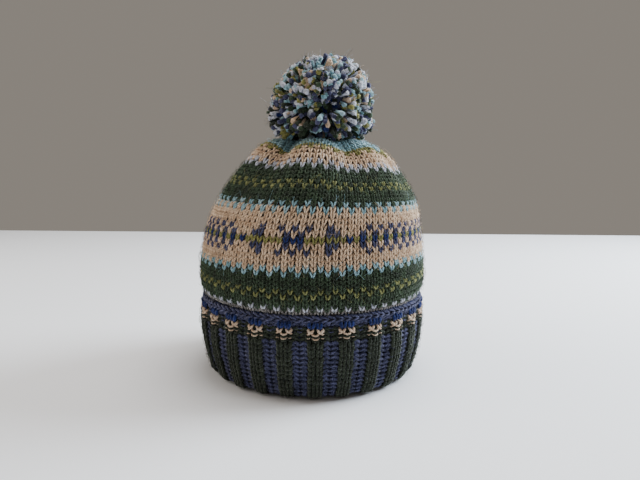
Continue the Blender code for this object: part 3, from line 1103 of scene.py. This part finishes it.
def pompom_ends():
    dice = np.random.default_rng(31)
    way, paths = end_paths(dice)
    thick = END_THICKNESS * dice.choice(END_WEIGHTS, (YARN_ENDS, 1), p=WEIGHT_SHARES)
    points = tubes(paths, thick * np.array(END_TAPER), END_SIDES, dice)
    faces, uvs = tube_faces(len(END_TAPER), END_SIDES)
    tints = end_colours(way, dice)
    cut = 2 * END_SIDES  # the corners at the tip and the cut
    points[:, -cut:] += dice.normal(0.0, FRAY, (YARN_ENDS, cut, 3))
    yarns = [share.yarn for share in POMPOM_MIX]
    piece = copied_form("pompom_ends", points, faces, uvs, [YARNS[y] for y in yarns], tints)
    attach(piece, "root")
    bend, tip = paths[:, 1], paths[:, 2]
    return tip, tip - bend, [yarns[tint] for tint in tints]


POMPOM_FUZZ = 2300
POMPOM_FIBRE_LENGTH = (0.0015, 0.0042)
POMPOM_FIBRE_STRAY = 0.6
POMPOM_FIBRE_START = 0.0004  # how far inside the tip it starts


def pompom_fuzz(tip, way, colours):
    """Loose fibres that the cutting left on the ends."""
    dice = np.random.default_rng(43)
    chosen = dice.integers(0, len(tip), POMPOM_FUZZ)
    way = way[chosen] / np.linalg.norm(way[chosen], axis=1, keepdims=True)
    stray = dice.normal(0.0, POMPOM_FIBRE_STRAY, (POMPOM_FUZZ, 3))
    length = dice.uniform(*POMPOM_FIBRE_LENGTH, (POMPOM_FUZZ, 1))
    start = tip[chosen] - way * POMPOM_FIBRE_START
    middle = start + (way + stray * 0.6) * length * 0.5
    end = start + (way * 0.7 + stray) * length
    paths = np.stack([start, middle, end], 1)
    fibres("pompom_fuzz", paths, [colours[i] for i in chosen], "pompom_wool", dice)


pompom_core()
pompom_fuzz(*pompom_ends())

# The floor and the light
# A plain pale floor with a plain background past its far edge, and soft studio light: a large lamp
# at the right, a weaker one above and a faint one at the left to fill the shade.
FLOOR_SIZE = 6.0
FLOOR_BACK = 0.78  # the floor's far edge
FLOOR_UNDER = 0.0003  # just clear of the lowest strands
BACKGROUND = (0.515, 0.465, 0.405)
BACKGROUND_STRENGTH = 0.50
Lamp = namedtuple("Lamp", "name place aim size power colour")
LAMPS = (
    Lamp("window", (0.94, 0.30, 0.64), (0.0, 0.0, 0.08), 0.7, 31.0, (0.84, 0.93, 1.00)),
    Lamp("ceiling", (0.20, 0.10, 1.15), (0.0, 0.0, 0.10), 0.9, 13.0, (1.00, 0.99, 0.97)),
    Lamp("fill", (-0.90, 0.02, 0.55), (0.0, 0.0, 0.08), 1.0, 5.6, (1.00, 0.93, 0.83)),
)


def floor():
    material = bpy.data.materials.new("pale_floor")
    material.use_nodes = True
    shader = material.node_tree.nodes["Principled BSDF"]
    shader.inputs["Base Color"].default_value = (*linear("ECEDF1"), 1.0)
    shader.inputs["Roughness"].default_value = 0.9
    place = (0.0, FLOOR_BACK - FLOOR_SIZE / 2, -FLOOR_UNDER)
    bpy.ops.mesh.primitive_plane_add(size=FLOOR_SIZE, location=place)
    piece = bpy.context.object
    piece.name = "floor"
    piece.data.materials.append(material)


def hang(lamp):
    data = bpy.data.lights.new(lamp.name, "AREA")
    data.shape = "DISK"
    data.size = lamp.size
    data.energy = lamp.power
    data.color = lamp.colour
    light = bpy.data.objects.new(lamp.name, data)
    bpy.context.scene.collection.objects.link(light)
    way = np.array(lamp.aim) - np.array(lamp.place)
    light.location = lamp.place
    light.rotation_euler = (
        math.acos(-way[2] / np.linalg.norm(way)),
        0.0,
        math.atan2(-way[0], way[1]),
    )


def background():
    world = bpy.data.worlds.new("studio")
    world.use_nodes = True
    shader = world.node_tree.nodes["Background"]
    shader.inputs["Color"].default_value = (*BACKGROUND, 1.0)
    shader.inputs["Strength"].default_value = BACKGROUND_STRENGTH
    bpy.context.scene.world = world


floor()
for lamp in LAMPS:
    hang(lamp)
background()

# The camera
# It stands where the hat was photographed from, close in front and a little above its middle, and
# looks slightly down. Its place was fitted to the rib's curve, the colour bands and the outline.
CAMERA_BACK = 0.3736
CAMERA_HEIGHT = 0.1357
CAMERA_SIDE = 0.0052
CAMERA_TILT = math.radians(7.46)
CAMERA_ROLL = math.radians(0.47)
FOCAL_PIXELS = 540.0
IMAGE_WIDTH = 640.0
SENSOR_WIDTH = 36.0
NEAREST = 0.01


def camera():
    data = bpy.data.cameras.new("camera")
    data.sensor_width = SENSOR_WIDTH
    data.lens = FOCAL_PIXELS / IMAGE_WIDTH * SENSOR_WIDTH
    data.clip_start = NEAREST
    seen = bpy.data.objects.new("camera", data)
    bpy.context.scene.collection.objects.link(seen)
    upright = Matrix.Rotation(math.pi / 2 - CAMERA_TILT, 4, "X")
    rolled = Matrix.Rotation(CAMERA_ROLL, 4, "Z")
    place = Matrix.Translation((CAMERA_SIDE, -CAMERA_BACK, CAMERA_HEIGHT))
    seen.matrix_world = place @ upright @ rolled
    bpy.context.scene.camera = seen


camera()
